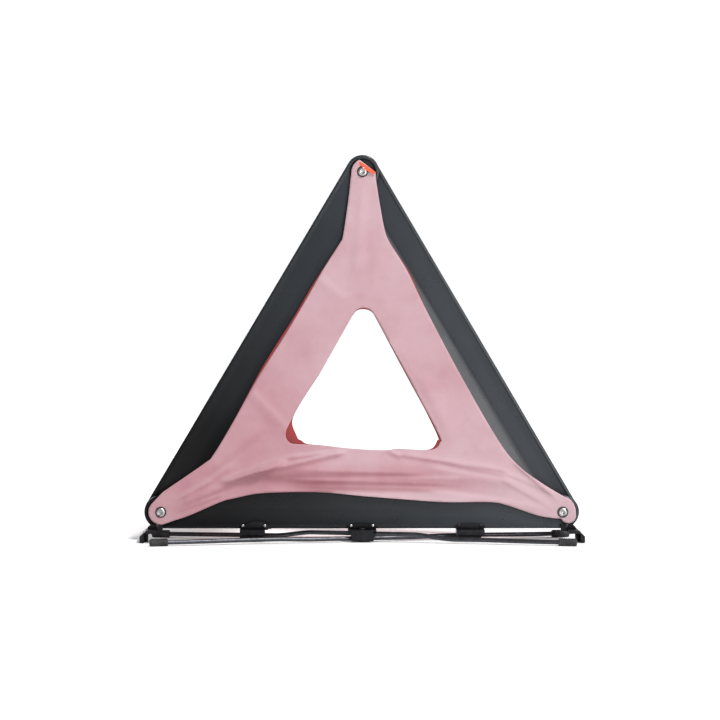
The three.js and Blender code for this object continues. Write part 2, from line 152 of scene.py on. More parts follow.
# The colour of painted shade in corners and crevices.
DEEP_SHADE = (0.002, 0.002, 0.002, 1)  # in the corners between parts


def moulded_plastic(name, dark, light, rough, grain, specular, fade=None, wear=1.0):
    """Satin moulded plastic: fine grain, faint sink marks, rubbed edges, and painted shade in its
    corners.

    The colour and shine drift at random. With `fade` they grow towards +X and the top instead: painted
    light, lighter and shinier where the light falls.
    """
    s = Shader(name)
    drift = s.span(s.noise(14.0, 4.0), 0.35, 0.65)
    # Painted light: with fade, the colour and shine grow towards +X and the top, where the light falls.
    if fade:
        at = s.node("SeparateXYZ", Vector=s.position())
        towards_light = s.math("ADD", at.outputs["X"], s.math("MULTIPLY", at.outputs["Z"], 0.35))
        across = s.span(towards_light, *fade)
        drift = s.math("ADD", across, s.span(s.noise(9.0, 3.0), 0.3, 0.7, -0.08, 0.08))
    worn = s.span(s.node("NewGeometry").outputs["Pointiness"], 0.56, 0.64)
    rubbed = s.math("MULTIPLY", worn, s.span(s.noise(260.0), 0.42, 0.62, 0.0, wear))
    base = s.mix(drift, dark, light)
    scuffed = tuple(min(1.0, 2.2 * c + 0.02) for c in light[:3]) + (1.0,)
    # Painted shade: ambient occlusion darkens corners and crevices towards DEEP_SHADE and dims their
    # shine.
    painted_shade_ao = s.node("AmbientOcclusion", {"samples": 6}, Distance=0.006).outputs["AO"]
    skin = s.mix(rubbed, base, scuffed)
    s.set(Base_Color=s.mix(s.span(painted_shade_ao, 0.35, 0.85), DEEP_SHADE, skin))
    s.set(Roughness=s.span(s.noise(40.0, 5.0), 0.3, 0.7, rough - 0.03, rough + 0.04))
    shine = s.span(drift, 0.0, 1.0, *specular)
    s.set(Specular_IOR_Level=s.math("MULTIPLY", s.span(painted_shade_ao, 0.35, 0.85, 0.1, 1.0), shine))
    sink = s.bump(s.noise(16.0, 1.0), 0.0009, 0.15)
    s.bump(s.noise(2600.0, 2.0), grain, 0.5, sink)
    return s.material


def metal(name, colour, rough, brush_scale=(1.0, 1.0, 1.0)):
    """Plated steel with a little tarnish, and fine lines along an axis whose brush scale is small."""
    s = Shader(name)
    tarnish = s.span(s.noise(180.0, 5.0, 0.6), 0.45, 0.7)
    shade = tuple(0.62 * c for c in colour[:3]) + (1.0,)
    s.set(Base_Color=s.mix(tarnish, colour, shade))
    s.set(Metallic=1.0)
    stretch = s.node("Mapping", Vector=s.position())
    stretch.inputs["Scale"].default_value = brush_scale
    lines = s.noise(3200.0, 3.0, 0.6, stretch.outputs[0])
    s.set(Roughness=s.span(lines, 0.2, 0.8, rough - 0.04, rough + 0.10))
    s.bump(lines, 0.00002, 0.3)
    return s.material


def rubber(name, colour):
    """Matt rubber with dust in its pores."""
    s = Shader(name)
    dusty = tuple(c + 0.03 for c in colour[:3]) + (1.0,)
    s.set(Base_Color=s.mix(s.span(s.noise(120.0, 5.0), 0.45, 0.7), colour, dusty))
    s.set(Roughness=s.span(s.noise(300.0), 0.3, 0.7, 0.62, 0.82))
    s.bump(s.noise(1500.0, 4.0), 0.00006, 0.7)
    return s.material


def prism_lens(name, deep, bright):
    """Red reflector plastic: a smooth skin over corner-cube prisms, cut in three directions."""
    s = Shader(name)
    at = s.node("SeparateXYZ", Vector=s.position())
    pitch = 2.6 * MM
    ridges = []
    for turn in (0.0, 60.0, 120.0):
        angle = math.radians(turn)
        along = s.math(
            "ADD",
            s.math("MULTIPLY", at.outputs["X"], math.cos(angle) / pitch),
            s.math("MULTIPLY", at.outputs["Z"], math.sin(angle) / pitch),
        )
        ridges.append(s.math("PINGPONG", along, 0.5))
    peak = s.math("MAXIMUM", s.math("MAXIMUM", ridges[0], ridges[1]), ridges[2])
    # Painted glint: the base colour brightens on the prism peaks, more in some cells than in others.
    cell = s.node("TexVoronoi", Vector=s.position(), Scale=1.0 / (0.8 * pitch))
    glint = s.span(cell.outputs["Color"], 0.2, 0.8, 0.25, 0.75)
    sparkle = s.math("MULTIPLY", glint, s.span(peak, 0.3, 0.5, 0.5, 1.0))
    s.set(Base_Color=s.mix(sparkle, deep, bright))
    s.set(Roughness=s.span(peak, 0.25, 0.5, 0.28, 0.12))
    s.set(Specular_IOR_Level=0.4, Coat_Weight=0.5, Coat_Roughness=0.05)
    s.bump(peak, 0.0004, 0.4)
    return s.material


def coated_cloth(name, pale, rosy, shade, shaded_lining=None):
    """Thin coated cloth. A per-point attribute deepens the colour and carries painted light and shade,
    and a plain weave crosses it.

    A lining colour, darkened as painted shade, shows on the face turned to the back.
    """
    s = Shader(name)
    tone_and_painted_light = s.node("Attribute", {"attribute_name": "tone_and_painted_light"}).outputs["Fac"]
    drift = s.span(s.noise(16.0, 4.0, 0.55), 0.3, 0.7, -0.12, 0.12)
    blotch = s.span(s.noise(70.0, 4.0, 0.6), 0.3, 0.7, -0.05, 0.05)
    depth = s.math("ADD", s.math("ADD", tone_and_painted_light, drift), blotch)
    low = s.mix(s.span(depth, 0.0, 0.5), pale, rosy)
    colour = s.mix(s.span(depth, 0.5, 1.0), low, shade)
    at = s.node("SeparateXYZ", Vector=s.position())
    thread = 0.9 * MM
    warp = s.math("SINE", s.math("MULTIPLY", at.outputs["X"], 2 * math.pi / thread))
    weft = s.math("SINE", s.math("MULTIPLY", at.outputs["Z"], 2 * math.pi / thread))
    weave = s.math("MULTIPLY", warp, weft)
    threads = s.mix(s.span(weave, -1.0, 1.0, 0.0, 0.10), colour, shade)
    if shaded_lining:
        # Painted shade: the face turned to the back takes the dark lining colour.
        facing = s.node("SeparateXYZ", Vector=s.node("TexCoord").outputs["Normal"]).outputs["Y"]
        threads = s.mix(s.span(facing, 0.25, 0.75), s.mix(s.noise(90.0), shaded_lining, shade), threads)
    s.set(Base_Color=threads, Roughness=s.span(s.noise(400.0), 0.3, 0.7, 0.62, 0.8))
    s.set(Sheen_Weight=0.25, Sheen_Roughness=0.5, Specular_IOR_Level=0.3)
    puckers = s.bump(s.noise(55.0, 4.0, 0.55), 0.0012, 0.22)
    s.bump(weave, 0.00005, 0.5, puckers)
    return s.material


def pale_floor(name):
    """A plain matt floor, very slightly mottled."""
    s = Shader(name)
    s.set(Base_Color=s.mix(s.noise(3.0), (0.95, 0.95, 0.95, 1), (0.97, 0.97, 0.97, 1)), Roughness=0.9)
    s.set(Specular_IOR_Level=0.0)
    return s.material


# The arms' colour and shine carry painted light, growing towards +X and the top.
ARM_PLASTIC = moulded_plastic(
    "arm_plastic", (0.0025, 0.0025, 0.003, 1), (0.020, 0.025, 0.031, 1), 0.29, 0.00003,
    specular=(0.17, 0.46), fade=(-0.13, 0.18),
)
FITTING_PLASTIC = moulded_plastic(
    "fitting_plastic", (0.003, 0.003, 0.004, 1), (0.007, 0.006, 0.009, 1), 0.30, 0.00001,
    specular=(0.16, 0.26), wear=0.3,
)
ZINC = metal("zinc", (0.50, 0.49, 0.48, 1), 0.26)
WIRE = metal("leg_wire_steel", (0.075, 0.076, 0.084, 1), 0.36, (0.02, 1.0, 1.0))
BLACKENED = metal("blackened_steel", (0.05, 0.045, 0.05, 1), 0.4)
RUBBER = rubber("foot_rubber", (0.014, 0.013, 0.015, 1))
LENS = prism_lens("red_prism_lens", (0.34, 0.003, 0.006, 1), (0.78, 0.010, 0.014, 1))
PINK = coated_cloth(
    "pink_cloth", (0.495, 0.338, 0.368, 1), (0.405, 0.200, 0.228, 1), (0.26, 0.088, 0.105, 1),
)
SIGNAL = ((0.95, 0.095, 0.035, 1), (0.80, 0.06, 0.03, 1), (0.40, 0.02, 0.02, 1))
ORANGE = coated_cloth("orange_cloth", *SIGNAL)
SHADED_LINING_ORANGE = coated_cloth("orange_cloth_shaded_lining", *SIGNAL, shaded_lining=(0.125, 0.036, 0.038, 1))
FLOOR = pale_floor("floor_paint")


# ---- Mesh helpers -----------------------------------------------------------------------------------


def new_object(name, vertices, faces, material, smooth_angle=35.0):
    mesh = bpy.data.meshes.new(name)
    mesh.from_pydata([tuple(v) for v in vertices], [], [tuple(f) for f in faces])
    mesh.validate()
    made = bpy.data.objects.new(name, mesh)
    bpy.context.scene.collection.objects.link(made)
    made.data.materials.append(material)
    if smooth_angle is not None:
        smooth(made, smooth_angle)
    return made


def smooth(piece, angle):
    piece.data.polygons.foreach_set("use_smooth", [True] * len(piece.data.polygons))
    piece.data.set_sharp_from_angle(angle=math.radians(angle))


def outward(piece, weld=False):
    """Turns every face outward, after a weld of the points that coincide if asked."""
    work = bmesh.new()
    work.from_mesh(piece.data)
    if weld:
        bmesh.ops.remove_doubles(work, verts=work.verts, dist=1e-6)
    bmesh.ops.recalc_face_normals(work, faces=work.faces)
    work.to_mesh(piece.data)
    work.free()


def apply_modifiers(piece):
    """Makes what the modifiers show the piece's own mesh."""
    graph = bpy.context.evaluated_depsgraph_get()
    baked = bpy.data.meshes.new_from_object(piece.evaluated_get(graph))
    piece.modifiers.clear()
    old = piece.data
    piece.data = baked
    bpy.data.meshes.remove(old)


def combine(piece, operation, *tools):
    """Cuts the tools out of the piece, or joins them to it, and deletes them."""
    for tool in tools:
        step = piece.modifiers.new("combine", "BOOLEAN")
        step.operation = operation
        step.solver = "EXACT"
        step.object = tool
    apply_modifiers(piece)
    for tool in tools:
        bpy.data.objects.remove(tool)


def round_edges(piece, width, segments, least_angle):
    """Rounds the edges sharper than an angle in degrees, to a width in millimetres."""
    edges = piece.modifiers.new("soft_edges", "BEVEL")
    edges.width = width * MM
    edges.segments = segments
    edges.limit_method = "ANGLE"
    edges.angle_limit = math.radians(least_angle)


def loft(name, rings, material, caps=(True, True), smooth_angle=35.0):
    """A skin over closed rings that all have the same number of points."""
    count = len(rings[0])
    vertices = [p for ring in rings for p in ring]
    faces = []
    for i in range(len(rings) - 1):
        a, b = i * count, (i + 1) * count
        for k in range(count):
            n = (k + 1) % count
            faces.append((a + k, a + n, b + n, b + k))
    if caps[0]:
        faces.append(tuple(range(count - 1, -1, -1)))
    if caps[1]:
        faces.append(tuple(range((len(rings) - 1) * count, len(rings) * count)))
    made = new_object(name, vertices, faces, material, None)
    outward(made)
    if smooth_angle is not None:
        smooth(made, smooth_angle)
    return made


def turned(name, section, material, to_frame, sides=64, closed=False, smooth_angle=35.0):
    """A piece turned about its own Y axis from (radius, y) in millimetres, then moved by `to_frame`."""
    rings = []
    for radius, y in section:
        ring = []
        for k in range(sides):
            angle = 2 * math.pi * k / sides
            ring.append(to_frame @ (Vector((radius * math.cos(angle), y, radius * math.sin(angle))) * MM))
        rings.append(ring)
    if closed:
        rings.append(rings[0])
    made = loft(name, rings, material, (not closed, not closed), None)
    if closed:
        outward(made, weld=True)
    smooth(made, smooth_angle)
    return made


def stands_for(piece, node, body):
    """The piece rides on a body and is shown in place of a CAD node, which it hides."""
    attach(piece, body)
    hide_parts(node)
    return piece


def keep_node(node, material, bevel, segments=3):
    """A CAD node that stays, with a finer material and softened edges."""
    piece = NODES[node]
    piece.data.materials.clear()
    piece.data.materials.append(material)
    round_edges(piece, bevel, segments, 40)
    smooth(piece, 40.0)


# ---- Arms -------------------------------------------------------------------------------------------

# An arm's slanting edge leaves the round end at angle TOUCH and rises by SLANT to the full width.
TOUCH = math.pi - math.atan2(INNER_EDGE, TAPER) - math.acos(END_R / math.hypot(TAPER, INNER_EDGE))
SLANT = (INNER_EDGE - END_R * math.sin(TOUCH)) / (TAPER + END_R * math.cos(TOUCH))


def arc(cx, cy, radius, start, end, steps):
    angles = (start + (end - start) * k / steps for k in range(steps + 1))
    return [(cx + radius * math.cos(a), cy + radius * math.sin(a)) for a in angles]


def circle(cx, cy, radius, steps):
    return arc(cx, cy, radius, 0, 2 * math.pi, steps)[:-1]


def arm_outline(span, inset):
    """An arm's outer edge, moved in by the inset, from pivot to pivot along its local X."""
    knee = TAPER + inset * math.tan(math.atan(SLANT) / 2)
    inner = INNER_EDGE - inset
    steps = 36
    ends = arc(span, 0, END_R - inset, -math.pi / 2, TOUCH, steps)
    starts = arc(0, 0, END_R - inset, math.pi - TOUCH, 1.5 * math.pi, steps)
    return ends + [(span - knee, inner), (knee, inner)] + starts


def tray_outline(span, inset):
    """The six-sided hollow between an arm's solid ends. The inset is counted from the arm's edge."""
    start = SOLID_END + inset - WALL
    knee = TAPER + inset * math.tan(math.atan(SLANT) / 2)
    inner = INNER_EDGE - inset
    at_start = inner - SLANT * (knee - start)
    outer = inset - END_R
    return [
        (start, outer), (span - start, outer), (span - start, at_start),
        (span - knee, inner), (knee, inner), (start, at_start),
    ]


def arm_frame(x, y, z, angle):
    """Local X along the arm, local Z into the triangle, local Y towards the traffic."""
    return Matrix.Translation(Vector((x, y, z)) * MM) @ Matrix.Rotation(-angle, 4, "Y")


ARM_FRAMES = {
    "bottom": (arm_frame(LEFT_PIVOT.x, BACK_Y["bottom"], PIVOT_Z, 0.0), SPAN),
    "right": (arm_frame(RIGHT_PIVOT.x, BACK_Y["right"], PIVOT_Z, math.pi - BASE_ANGLE), SIDE_SPAN),
    "left": (arm_frame(APEX.x, BACK_Y["left"], APEX.z, math.pi + BASE_ANGLE), SIDE_SPAN),
}
BODY_OF = {"bottom": "base", "left": "left_arm", "right": "right_arm"}


def ring_at(outline, y, to_frame):
    return [to_frame @ (Vector((u, y, w)) * MM) for u, w in outline]


def bar(name, outline, y0, y1, to_frame, material=ARM_PLASTIC):
    rings = [ring_at(outline, y, to_frame) for y in (y0, y1)]
    return loft(name, rings, material, smooth_angle=None)


RIM_WIDTH = 3.4
PANEL_SINK = 0.7
EDGE_ROUND = 1.7


def arm_shell(side, holes, sockets=()):
    """A moulded arm: a rolled edge, a raised rim round the sunk back panel, and a tray for the lens."""
    to_frame, span = ARM_FRAMES[side]
    rolled = []
    for k in range(7):
        turn = math.pi / 2 * k / 6
        rolled.append((EDGE_ROUND * (1 - math.cos(turn)), EDGE_ROUND * (1 - math.sin(turn))))
    profile = [(0.5, ARM_T), (0.15, ARM_T - 0.15), (0.0, ARM_T - 0.5)] + rolled
    profile += [
        (RIM_WIDTH - 0.5, 0.0), (RIM_WIDTH - 0.15, 0.12), (RIM_WIDTH + 0.1, 0.4),
        (RIM_WIDTH + 0.35, PANEL_SINK - 0.1), (RIM_WIDTH + 0.7, PANEL_SINK),
    ]
    rings = [ring_at(arm_outline(span, d), y, to_frame) for d, y in profile]
    piece = loft(side + "_arm", rings, ARM_PLASTIC, smooth_angle=None)
    tools = [bar("tray", tray_outline(span, WALL), WALL + 0.2, ARM_T + 1, to_frame)]
    for u, w, radius in holes:
        tools.append(bar("hole", circle(u, w, radius, 32), -1, ARM_T + 1, to_frame))
    for u, w, radius, depth in sockets:
        tools.append(bar("socket", circle(u, w, radius, 48), -1, depth, to_frame))
    combine(piece, "DIFFERENCE", *tools)
    smooth(piece, 28.0)
    return stands_for(piece, side + "_arm_shell", BODY_OF[side])


def hole_centres(nodes, radius):
    """Holes of one radius where the nodes pass through the bottom arm, in its local frame."""
    return [(centre(n).x / MM - LEFT_PIVOT.x, centre(n).z / MM - PIVOT_Z, radius) for n in nodes]


CLIPS = ("left_leg_clip", "centre_leg_bracket", "right_leg_clip")
CLIP_RIVETS = [clip + "_rivet_" + side for clip in CLIPS for side in ("left", "right")]
SCREWS = ("left_bracket_screw", "right_bracket_screw")
PIVOT_HOLE = 2.6
RIVET_HOLE = 1.1
SCREW_HOLE = 1.2
# Radius and depth of the recesses at the apex: behind the cloth's top tab, and for the catch stud.
TAB_SEAT = (12.9, 3.4)
STUD_SOCKET = (9.4, 3.0)

arm_shell("bottom", [(0, 0, PIVOT_HOLE), (SPAN, 0, PIVOT_HOLE)] + hole_centres(CLIP_RIVETS, RIVET_HOLE)
          + hole_centres(SCREWS, SCREW_HOLE))
arm_shell("left", [(0, 0, PIVOT_HOLE), (SIDE_SPAN, 0, PIVOT_HOLE)], [(0, 0) + TAB_SEAT])
arm_shell("right", [(0, 0, PIVOT_HOLE)], [(SIDE_SPAN, 0) + STUD_SOCKET])


LENS_T = 2.8
LENS_GAP = 0.3
LENS_BORDER = 1.5
LENS_FIELDS = 6


def reflector(side):
    """A lens with a welded border, crossed by low ribs between its prism fields."""
    to_frame, span = ARM_FRAMES[side]
    top = ARM_T
    profile = [
        (0.0, top - LENS_T), (0.0, top - 0.25), (0.25, top), (LENS_BORDER, top),
        (LENS_BORDER + 0.25, top - 0.35),
    ]
    rings = [ring_at(tray_outline(span, WALL + LENS_GAP + d), y, to_frame) for d, y in profile]
    piece = loft(side + "_lens", rings, LENS, smooth_angle=20.0)
    low, high = 2 - END_R, INNER_EDGE - 2.6
    for k in range(1, LENS_FIELDS):
        u = SOLID_END + (span - 2 * SOLID_END) * k / LENS_FIELDS
        outline = [(u - 0.5, low), (u + 0.5, low), (u + 0.5, high), (u - 0.5, high)]
        rib = bar("rib", outline, top - 1.0, top - 0.05, to_frame, LENS)
        combine(piece, "UNION", rib)
    smooth(piece, 20.0)
    return stands_for(piece, side + "_reflector", BODY_OF[side])


for arm in ("bottom", "left", "right"):
    reflector(arm)


# ---- Cloth ------------------------------------------------------------------------------------------

# Outer edge of each ply between its corner tabs, in (x, z) millimetres, anticlockwise from the back.
SIDE_RUNS = {
    "bottom": [(-190, 19.6), (-171, 26), (-141, 39), (-126, 43), (-98, 48), (-45, 49), (1, 45), (40, 42),
               (81, 39.2), (127, 39), (144, 36), (174, 26), (190, 23), (198.3, 22.6)],
    "right": [(202, 44), (179, 57.9), (155, 75.9), (134, 102.8), (95, 170.5), (62, 233), (44, 269.8),
              (27, 297), (22, 310), (17, 336), (13.2, 360)],
    "left": [(-11.2, 366), (-14.6, 336), (-19.5, 303), (-22.4, 296.5), (-39.2, 269.7), (-59, 235),
             (-80, 200), (-104, 162), (-131, 113.7), (-148, 85.8), (-156, 78), (-198, 49)],
}
# The right tab is cut with a lobe below its rivet.
RIGHT_LOBE = [(200.2, 19.8), (203, 18.2), (206.3, 17.7), (209.5, 18.6), (212, 21), (213.2, 24.5),
              (213.2, 28.5), (212.6, 33), (210.8, 37.6), (208.2, 41), (205, 43.2)]
# The tip is folded over along the slanting line between the first two points.
TIP_RUN = [(12.8, 366.8), (-2.2, 378.6), (-3.8, 378.9), (-6.0, 377.4), (-8.8, 374.5), (-10.6, 370.6)]
HOLE_RUN = [
    (-43, 165.5), (-60, 139.6), (-72, 117.5), (-75.6, 110), (-75.8, 103.5), (-72.5, 98.6), (-67, 96.9),
    (-43, 96), (-13, 92.6), (20.7, 90.8), (35.6, 92.2), (60, 91), (70, 91.4), (75.2, 94.2), (77.6, 99),
    (76.6, 105.5), (48.4, 158.6), (13.5, 222.5), (11, 227.3), (6.5, 231), (0.5, 232.2), (-4.5, 230.8),
    (-8.5, 226.5), (-20.3, 206),
]


def smooth_run(points, step=2.0):
    """A Catmull-Rom line through the points, resampled at an even step."""
    pts = [Vector(p) for p in points]
    pts = [2 * pts[0] - pts[1]] + pts + [2 * pts[-1] - pts[-2]]
    made = []
    for i in range(1, len(pts) - 2):
        a, b, c, d = pts[i - 1:i + 3]
        count = max(1, round((c - b).length / step))
        for k in range(count):
            t = k / count
            made.append(0.5 * (2 * b + (c - a) * t + (2 * a - 5 * b + 4 * c - d) * t * t
                               + (3 * b - a - 3 * c + d) * t ** 3))
    made.append(pts[-2])
    return made


TAB_R = 12.3
CORNERS = ((LEFT_PIVOT.x, PIVOT_Z), (RIGHT_PIVOT.x, PIVOT_Z), (0.0, APEX.z))


def ply_outline():
    """The closed outer edge of a ply."""
    left_tab = arc(LEFT_PIVOT.x, PIVOT_Z, TAB_R, math.radians(138), math.radians(292), 20)
    line = [Vector(p) for p in left_tab]
    line += smooth_run(SIDE_RUNS["bottom"])
    line += [Vector(p) for p in RIGHT_LOBE]
    line += smooth_run(SIDE_RUNS["right"])
    line += [Vector(p) for p in TIP_RUN]
    line += smooth_run(SIDE_RUNS["left"])
    return line


def tidy_loop(points, least=0.7):
    """Drops points that nearly meet the one before."""
    kept = [points[0]]
    for p in points[1:]:
        if (p - kept[-1]).length > least:
            kept.append(p)
    if (kept[0] - kept[-1]).length < least:
        kept.pop()
    return kept


def inside(loop, xs, zs):
    """Which of the points lie inside a closed loop."""
    hit = np.zeros(len(xs), bool)
    for a, b in zip(loop, loop[1:] + loop[:1]):
        crosses = (a.y > zs) != (b.y > zs)
        with np.errstate(divide="ignore", invalid="ignore"):
            at = (b.x - a.x) * (zs - a.y) / (b.y - a.y) + a.x
        hit ^= crosses & (xs < at)
    return hit


def distance_to(loop, xs, zs):
    """Distance of each point to a closed loop."""
    best = np.full(len(xs), 1e9)
    for a, b in zip(loop, loop[1:] + loop[:1]):
        run = b - a
        t = np.clip(((xs - a.x) * run.x + (zs - a.y) * run.y) / max(run.length_squared, 1e-9), 0, 1)
        best = np.minimum(best, np.hypot(xs - a.x - t * run.x, zs - a.y - t * run.y))
    return best


def plan_mesh(outer, holes, spacing):
    """An even triangle mesh of the area between the outer loop and the holes: points and triangles."""
    lows = [min(p[i] for p in outer) for i in (0, 1)]
    highs = [max(p[i] for p in outer) for i in (0, 1)]
    rows = []
    for j, z in enumerate(np.arange(lows[1], highs[1], spacing * math.sqrt(3) / 2)):
        row = np.arange(lows[0] + (j % 2) * spacing / 2, highs[0], spacing)
        rows.append(np.stack([row, np.full(len(row), z)], 1))
    grid = np.concatenate(rows)
    xs, zs = grid[:, 0], grid[:, 1]
    clear = 0.6 * spacing
    good = inside(outer, xs, zs) & (distance_to(outer, xs, zs) > clear)
    for hole in holes:
        good &= ~inside(hole, xs, zs)
        good &= distance_to(hole, xs, zs) > clear
    points, edges = [], []
    for loop in [outer] + holes:
        start = len(points)
        points += [Vector(p) for p in loop]
        edges += [(start + k, start + (k + 1) % len(loop)) for k in range(len(loop))]
    points += [Vector(p) for p in grid[good]]
    made, _, triangles, *_ = delaunay_2d_cdt(points, edges, [], 0, 1e-5)
    at = np.array([tuple(p) for p in made])
    triangles = np.array(triangles)
    middle = at[triangles].mean(1)
    keep = inside(outer, middle[:, 0], middle[:, 1])
    for hole in holes:
        keep &= ~inside(hole, middle[:, 0], middle[:, 1])
    triangles = triangles[keep]
    used = np.unique(triangles)
    renumber = np.full(len(at), -1)
    renumber[used] = np.arange(len(used))
    return at[used], renumber[triangles]


def crease(at, start, end, height, width, skew=0.0, ends=0.25):
    """A fold from start to end: a ridge whose flank on one side is steeper by `skew`."""
    a, b = np.array(start, float), np.array(end, float)
    run = b - a
    length = np.linalg.norm(run)
    run /= length
    t = (at - a) @ run / length
    across = (at - a) @ np.array([-run[1], run[0]])
    fade = np.clip(np.minimum(t, 1 - t) / ends + 0.5, 0, 1)
    fade = fade * fade * (3 - 2 * fade)
    w = width * (1 + skew * np.sign(across))
    return height * fade * np.exp(-(across / w) ** 2)


# Folds in the cloth: (start, end, height, width, skew), in millimetres, but for the skew.
FOLDS = [
    ((-136, 58), (-78, 78), 3.6, 3.6, 0.35),
    ((-122, 65), (-22, 88), 2.0, 3.4, -0.35),
    ((-75, 83), (-20, 89), 2.0, 2.6, -0.4),
    ((-188, 33), (-120, 62), 2.4, 4.6, 0.3),
    ((-176, 44), (-128, 76), 1.8, 4.4, -0.3),
    ((-150, 72), (-100, 112), 1.3, 6.0, 0.3),
    ((-115, 67), (60, 71), 3.4, 8.5, 0.3),
    ((-60, 60), (100, 62), 2.0, 4.2, -0.3),
    ((-32, 42), (108, 38), 3.0, 4.4, 0.0),
    ((-96, 50), (-30, 52), 1.6, 3.4, 0.3),
    ((38, 87), (140, 70), 1.3, 5.0, 0.4),
    ((24, 92), (38, 84), 1.6, 2.6, 0.0),
    ((70, 72), (150, 58), 1.8, 5.2, -0.3),
    ((60, 50), (186, 32), 1.8, 4.6, -0.3),
    ((152, 78), (192, 44), 1.7, 3.8, 0.45),
    ((168, 62), (197, 40), 1.0, 3.0, -0.3),
    ((140, 62), (192, 32), 1.6, 3.4, 0.2),
    ((-62, 98), (-112, 150), 1.3, 6.0, 0.2),
    ((88, 104), (58, 166), 1.2, 7.0, -0.2),
    ((-139, 59), (-99, 71), 1.7, 1.9, 0.3),
    ((-108, 68), (-76, 80), 1.9, 1.7, 0.3),
    ((-121, 65), (-61, 79), 1.3, 1.8, -0.3),
    ((-66, 78), (-20, 88), 1.5, 1.9, -0.3),
    ((-74, 84), (-22, 89), 1.2, 1.7, 0.2),
    ((-95, 48), (-32, 50), 0.9, 1.8, 0.0),
    ((-62, 71), (58, 67), 0.9, 2.2, 0.2),
    ((-72, 62), (88, 57), 0.8, 2.0, -0.3),
    ((-52, 54), (78, 52), 0.8, 1.8, 0.2),
    ((154, 76), (190, 46), 1.2, 1.9, 0.4),
    ((137, 71), (182, 51), 0.7, 2.0, 0.2),
    ((92, 76), (157, 63), 0.9, 2.2, -0.2),
    ((38, 86), (137, 71), 1.1, 2.2, 0.3),
    ((-186, 40), (-150, 60), 1.2, 2.0, 0.3),
    ((-184, 30), (-140, 46), 1.0, 2.0, 0.2),
    ((0, 350), (-7, 268), 1.1, 5.0, 0.2),
    ((4, 240), (22, 300), 0.9, 6.0, 0.2),
    ((-18, 240), (-44, 262), 1.0, 6.0, 0.2),
]
FOLD_SCALE = 0.7


def relief(at):
    """How far the cloth stands off its resting plane, towards the back, in millimetres.

    Round each rivet it is held flat.
    """
    rise = FOLD_SCALE * sum(crease(at, *fold) for fold in FOLDS)
    for x, z in CORNERS:
        held = np.clip(np.hypot(at[:, 0] - x, at[:, 1] - z) / 22 - 0.28, 0, 1)
        rise = rise * held
    soft = np.array([noise.noise(Vector((x / 34, z / 34, 1.7))) for x, z in at])
    fine = np.array([noise.noise(Vector((x / 11, z / 11, 5.1))) for x, z in at])
    return rise + 0.55 * (soft + 0.6) + 0.12 * (fine + 0.6)


FABRIC_SLOPE = 0.0202  # forward lean per millimetre of height
REST_Z = PIVOT_Z + INNER_EDGE
ARM_GAP = 0.3
BACK_PLY_Y = BACK_Y["bottom"] - ARM_GAP - 0.9
FRONT_PLY_Y = BACK_Y["bottom"] - ARM_GAP - 0.2
CLOTH_STEP = 1.7


def plane_y(y, z):
    """The y at height z of the leaning plane that is at y where the cloth meets the bottom arm."""
    return y + FABRIC_SLOPE * (z - REST_Z)


def make_cloth(piece, tone_and_painted_light, thickness):
    """Gives a single skin of faces its tone, with any painted light and shade, at each point, smooth
    shading and a thickness.
    """
    outward(piece)
    values = piece.data.attributes.new("tone_and_painted_light", "FLOAT", "POINT")
    values.data.foreach_set("value", np.asarray(tone_and_painted_light, np.float32))
    piece.data.polygons.foreach_set("use_smooth", [True] * len(piece.data.polygons))
    body = piece.modifiers.new("cloth_thickness", "SOLIDIFY")
    body.thickness = thickness * MM
    body.offset = 0.0
    apply_modifiers(piece)
    return piece


def cloth_piece(name, outer, holes, rest_y, lift, tone_and_painted_light, material):
    """A ply whose folds stand off its plane by a share, lift, of the relief."""
    at, triangles = plan_mesh(tidy_loop(outer), [tidy_loop(h) for h in holes], CLOTH_STEP)
    off = relief(at) * lift
    vertices = np.stack([at[:, 0], plane_y(rest_y, at[:, 1]) - off, at[:, 1]], 1) * MM
    return make_cloth(new_object(name, vertices, triangles, material, None), tone_and_painted_light(at), 0.35)


def soft_band(value, low, high, edge):
    """1 between low and high and 0 outside them, with soft edges."""
    return 1 / (1 + np.exp(-(value - low) / edge)) * (1 / (1 + np.exp((value - high) / edge)))


def hump(value, middle, width):
    return np.exp(-((value - middle) / width) ** 2)


def pink_tone_and_painted_light(at):
    """Painted light and shade over a base tone: deeper rose (painted shade) along the sagging lower band,
    down the left and on down-facing fold flanks; paler (painted light) on the right, on up-facing flanks
    and along the lower edge. Pale at the tips too.
    """
    x, z = at[:, 0], at[:, 1]
    sagging_band_shade = soft_band(z, 51, 74, 3.0) * soft_band(x, -112, 88, 20.0)
    deepest_shade = hump(z, 56, 7) * (hump(x, -46, 26) + 0.4 * hump(x, 62, 20))
    # Painted light on the right and painted shade down the left, where the light falls from the right.
    right = soft_band(x, 120, 260, 14.0) * soft_band(z, 0, 70, 10.0)
    left = soft_band(x, -260, -52, 14.0) * soft_band(z, 20, 190, 18.0)
    tips = hump(z, 345, 40)
    hem_highlight = soft_band(z, 36, 47.5, 1.2) * soft_band(x, -30, 100, 10.0)
    reach = np.array([0.0, 1.2])
    fold_flank_light_and_shade = np.clip((relief(at + reach) - relief(at - reach)) / 2.4, -0.4, 0.4)
    return (0.19 + 0.32 * sagging_band_shade + 0.34 * deepest_shade + 0.25 * left - 0.10 * tips - 0.40 * hem_highlight - 0.30 * right
            + 0.40 * fold_flank_light_and_shade)


def front_tone(at):
    return np.full(len(at), 0.25)


EYELET_R = 2.5
eyelets = [[Vector(p) for p in circle(x, z, EYELET_R, 20)] for x, z in CORNERS]
opening = smooth_run(HOLE_RUN + [HOLE_RUN[0]])

back_ply = cloth_piece("pink_cloth_back", ply_outline(), [opening] + eyelets, BACK_PLY_Y, 1.0,
                       pink_tone_and_painted_light, PINK)


